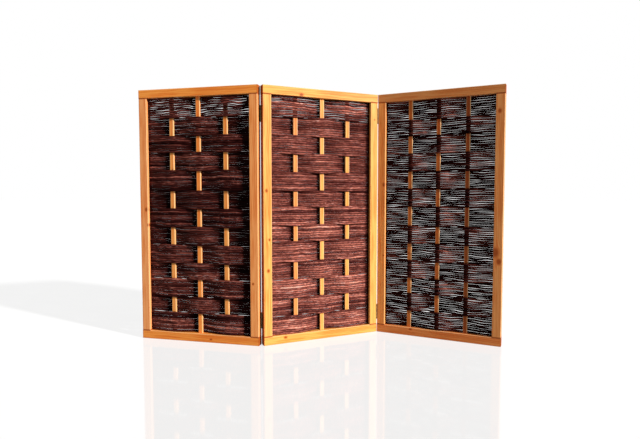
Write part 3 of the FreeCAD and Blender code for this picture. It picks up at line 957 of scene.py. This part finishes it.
class FinishSlats(bpy.types.Operator):
    """Give every slat its own board of paler softwood"""
    bl_idname = "willow_screen.finish_slats"
    bl_label = "Finish slat wood"

    def execute(self, context):
        settings = context.scene.wood_settings
        finish_boards(SLATS, settings.slat_light, settings, seed=8)
        return {"FINISHED"}


def plate_pieces(material_name, bright, settings, *endings):
    """Give the pieces whose names end so plated steel with marks that run up the piece."""
    material = shaded_material(
        material_name, group_once("zinc_plating", plating_group),
        {"Place": lambda tree: node(tree, "ShaderNodeTexCoord").outputs["Object"],
         "Bright": bright, "Dull": settings.tarnish},
        bump_distance=0.0001, bump_strength=0.25, Metallic=1.0)
    names = [name for name in frame["nodes"] if name.endswith(endings)]
    if not names:
        raise RuntimeError("The frame has no piece whose name ends in " + " or ".join(endings))
    for name in names:
        paint(name, material)


class PlateHinges(bpy.types.Operator):
    """Plate the hinge leaves and pins with zinc"""
    bl_idname = "willow_screen.plate_hinges"
    bl_label = "Plate hinges"

    def execute(self, context):
        settings = context.scene.metal_settings
        plate_pieces("hinge_zinc", settings.zinc, settings, "_leaf", "_pin")
        return {"FINISHED"}


class PlateScrews(bpy.types.Operator):
    """Plate the hinge screws and the corner screws with yellow zinc"""
    bl_idname = "willow_screen.plate_screws"
    bl_label = "Plate screws"

    def execute(self, context):
        settings = context.scene.metal_settings
        plate_pieces("screw_zinc", settings.screw_zinc, settings, "_screws")
        return {"FINISHED"}


# Stage colours, how bright the floor's own glow is, and which shares of what the camera sees of the
# floor are that glow and the mirror image
WHITE = (1.0, 1.0, 1.0, 1.0)
FILL_COLOUR = (1.0, 0.985, 0.96, 1.0)
FLOOR_COLOUR = (0.86, 0.86, 0.85, 1.0)
BOUNCE_COLOUR = (0.36, 0.36, 0.35, 1.0)
FLOOR_LIFT = 1.12
LIFTED_SHARE = 0.72
MIRRORED_SHARE = 0.14


def mix_shaders(tree, share, first, second):
    """A shader mix: the first node's shader where the share is 0 and the second's where it is 1."""
    return node(tree, "ShaderNodeMixShader", {0: share, 1: first.outputs[0], 2: second.outputs[0]})


def seen_directly(tree):
    """One for rays that should meet the white backdrop: from the camera, by gloss or through glass."""
    path = node(tree, "ShaderNodeLightPath")
    rays = [path.outputs[label] for label in ("Is Camera Ray", "Is Glossy Ray", "Is Transmission Ray")]
    return maths(tree, "MAXIMUM", maths(tree, "MAXIMUM", rays[0], rays[1]), rays[2])


def light_world(scene, settings):
    """An even fill light, and plain white wherever the backdrop itself is seen."""
    world = bpy.data.worlds.new("soft_studio")
    scene.world = world
    world.use_nodes = True
    tree = world.node_tree
    tree.nodes.clear()
    fill = node(tree, "ShaderNodeBackground", {
        "Color": FILL_COLOUR, "Strength": settings.fill_strength})
    white = node(tree, "ShaderNodeBackground", {"Color": WHITE, "Strength": 1.0})
    mixed = mix_shaders(tree, seen_directly(tree), fill, white)
    node(tree, "ShaderNodeOutputWorld", {"Surface": mixed.outputs[0]})


def floor_material():
    """A pale floor that shows almost white, keeps a soft shadow and mirrors faintly.
    Light that bounces meets a dimmer floor, so that it doesn't fill the shadows in the weave."""
    material = bpy.data.materials.new("pale_floor")
    material.use_nodes = True
    tree = material.node_tree
    tree.nodes.clear()
    pale, dim = (
        node(tree, "ShaderNodeBsdfPrincipled", {"Base Color": level, "Roughness": 0.9})
        for level in (FLOOR_COLOUR, BOUNCE_COLOUR))
    lifted = node(tree, "ShaderNodeEmission", {"Color": WHITE, "Strength": FLOOR_LIFT})
    mirror = node(tree, "ShaderNodeBsdfGlossy", {"Color": WHITE, "Roughness": 0.06})
    shown = mix_shaders(tree, LIFTED_SHARE, pale, lifted)
    shown = mix_shaders(tree, MIRRORED_SHARE, shown, mirror)
    mixed = mix_shaders(tree, seen_directly(tree), dim, shown)
    node(tree, "ShaderNodeOutputMaterial", {"Surface": mixed.outputs[0]})
    return material


class SetStage(bpy.types.Operator):
    """Lay the floor, set the lights and stand the camera at the photograph's angle"""
    bl_idname = "willow_screen.set_stage"
    bl_label = "Set stage"

    def execute(self, context):
        scene = context.scene
        settings = scene.stage_settings
        scene.view_settings.view_transform = "Standard"
        light_world(scene, settings)
        reach = settings.floor_reach
        mesh = bpy.data.meshes.new("floor")
        corners = [(-reach, -reach, 0), (reach, -reach, 0), (reach, reach, 0), (-reach, reach, 0)]
        mesh.from_pydata(corners, [], [(0, 1, 2, 3)])
        mesh.materials.append(floor_material())
        floor = bpy.data.objects.new("floor", mesh)
        scene.collection.objects.link(floor)
        azimuth, elevation = settings.sun_azimuth, settings.sun_elevation
        toward = Vector((math.sin(azimuth) * math.cos(elevation),
                         -math.cos(azimuth) * math.cos(elevation), math.sin(elevation)))
        sun = bpy.data.lights.new("key_light", "SUN")
        sun.energy = settings.sun_strength
        sun.angle = settings.sun_size
        lamp = bpy.data.objects.new("key_light", sun)
        lamp.rotation_euler = (-toward).to_track_quat("-Z", "Y").to_euler()
        scene.collection.objects.link(lamp)
        lens = bpy.data.cameras.new("camera")
        lens.sensor_width = 36.0
        lens.lens = settings.lens
        camera = bpy.data.objects.new("camera", lens)
        camera.location = settings.camera_place
        camera.rotation_euler = (math.pi / 2 - settings.camera_pitch, 0.0, 0.0)
        scene.collection.objects.link(camera)
        scene.camera = camera
        return {"FINISHED"}


STEPS = (WeaveRods, FinishFrames, FinishSlats, PlateHinges, PlateScrews, SetStage)
SETTINGS = {
    "willow_settings": WillowSettings,
    "wood_settings": WoodSettings,
    "metal_settings": MetalSettings,
    "stage_settings": StageSettings,
}


class WillowScreenPanel(bpy.types.Panel):
    """The sidebar panel that lists the steps and their settings"""
    bl_idname = "VIEW3D_PT_willow_screen"
    bl_label = "Willow folding screen"
    bl_space_type = "VIEW_3D"
    bl_region_type = "UI"
    bl_category = "Willow screen"

    def draw(self, context):
        for step in STEPS:
            self.layout.operator(step.bl_idname)
        for label in SETTINGS:
            group = getattr(context.scene, label)
            box = self.layout.box()
            for field in group.bl_rna.properties:
                if field.identifier not in ("rna_type", "name"):
                    box.prop(group, field.identifier)


CLASSES = (*SETTINGS.values(), *STEPS, WillowScreenPanel)


def register():
    for kind in CLASSES:
        bpy.utils.register_class(kind)
    for label, kind in SETTINGS.items():
        setattr(bpy.types.Scene, label, bpy.props.PointerProperty(type=kind))


def unregister():
    for label in SETTINGS:
        delattr(bpy.types.Scene, label)
    for kind in reversed(CLASSES):
        bpy.utils.unregister_class(kind)


def main():
    """Register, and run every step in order."""
    register()
    for step in STEPS:
        family, name = step.bl_idname.split(".")
        if getattr(getattr(bpy.ops, family), name)() != {"FINISHED"}:
            raise RuntimeError("This step did not finish: " + step.bl_label)


if __name__ == "__main__":
    main()
